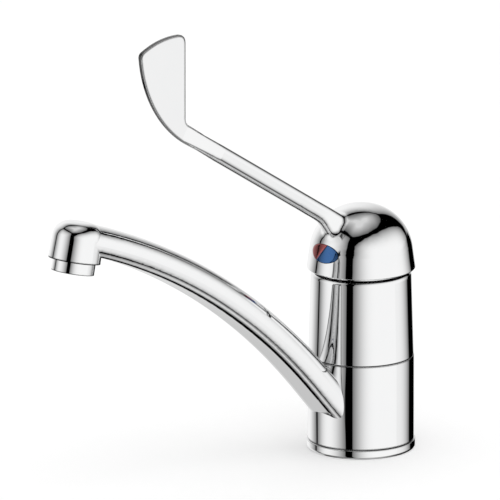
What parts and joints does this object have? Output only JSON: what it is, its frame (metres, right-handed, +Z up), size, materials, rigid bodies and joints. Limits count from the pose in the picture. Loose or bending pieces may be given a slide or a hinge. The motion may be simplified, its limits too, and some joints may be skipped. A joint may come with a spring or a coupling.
{
  "type": "single-lever sink mixer tap",
  "caption": "Single-lever deck-mounted sink mixer tap with a swivelling low arched spout, an aerator and a long lever bar that ends in an upright blade.",
  "frame": {"origin": "on the body's upright axis, at the underside of the base, where the tap sits on the deck", "axes": "+Z up along the body's axis, -Y towards the user along the spout and the closed lever, +X to the user's right"},
  "size_m": [0.0554, 0.2339, 0.2369],
  "materials": {
    "chrome": "polished chrome plate on cast brass",
    "steel": "plain turned steel",
    "brass": "bare machined brass",
    "ceramic": "fine white alumina, ground flat",
    "black_rubber": "smooth moulded rubber",
    "white_plastic": "moulded acetal",
    "grey_plastic": "moulded glass-filled plastic",
    "red": "glossy coloured plug",
    "blue": "glossy coloured plug"
  },
  "bodies": {
    "tap_body": {"base_ring": "chrome", "base_gasket": "black_rubber", "body": "chrome", "slip_ring_lower": "white_plastic", "slip_ring_upper": "white_plastic", "o_ring_lower": "black_rubber", "o_ring_upper": "black_rubber", "cartridge_base": "grey_plastic", "cartridge_seals": "black_rubber", "fixed_disc": "ceramic", "cartridge_housing": "grey_plastic", "cartridge_nut": "brass", "cover_ring": "chrome"},
    "swivel_spout": {"spout": "chrome", "aerator_shell": "chrome", "aerator_insert": "white_plastic", "aerator_screen": "steel", "aerator_washer": "black_rubber"},
    "turret": {"cartridge_turret": "white_plastic"},
    "disc": {"moving_disc": "ceramic", "disc_carrier": "white_plastic"},
    "lever": {"cartridge_stem": "brass", "stem_pin": "steel", "lever_handle": "chrome", "handle_screw": "steel", "index_red": "red", "index_blue": "blue"}
  },
  "joints": [
    {"name": "spout_swivel", "type": "hinge", "parent": "tap_body", "child": "swivel_spout", "pos_m": [0, 0, 0.0267], "axis": [0, 0, 1], "continuous": true},
    {"name": "lever_turn", "type": "hinge", "parent": "tap_body", "child": "turret", "pos_m": [0, 0, 0.082], "axis": [0, 0, 1], "range_deg": [-50, 50]},
    {"name": "lever_tilt", "type": "hinge", "parent": "turret", "child": "lever", "pos_m": [0, 0, 0.082], "axis": [-1, 0, 0], "range_deg": [0, 25]},
    {"name": "disc_slide", "type": "slide", "parent": "turret", "child": "disc", "axis": [0, -1, 0], "range_m": [0, 0.0052]}
  ],
  "couplings": [
    {"joint": "disc_slide", "follows": "lever_tilt", "m_per_rad": 0.011905}
  ]
}
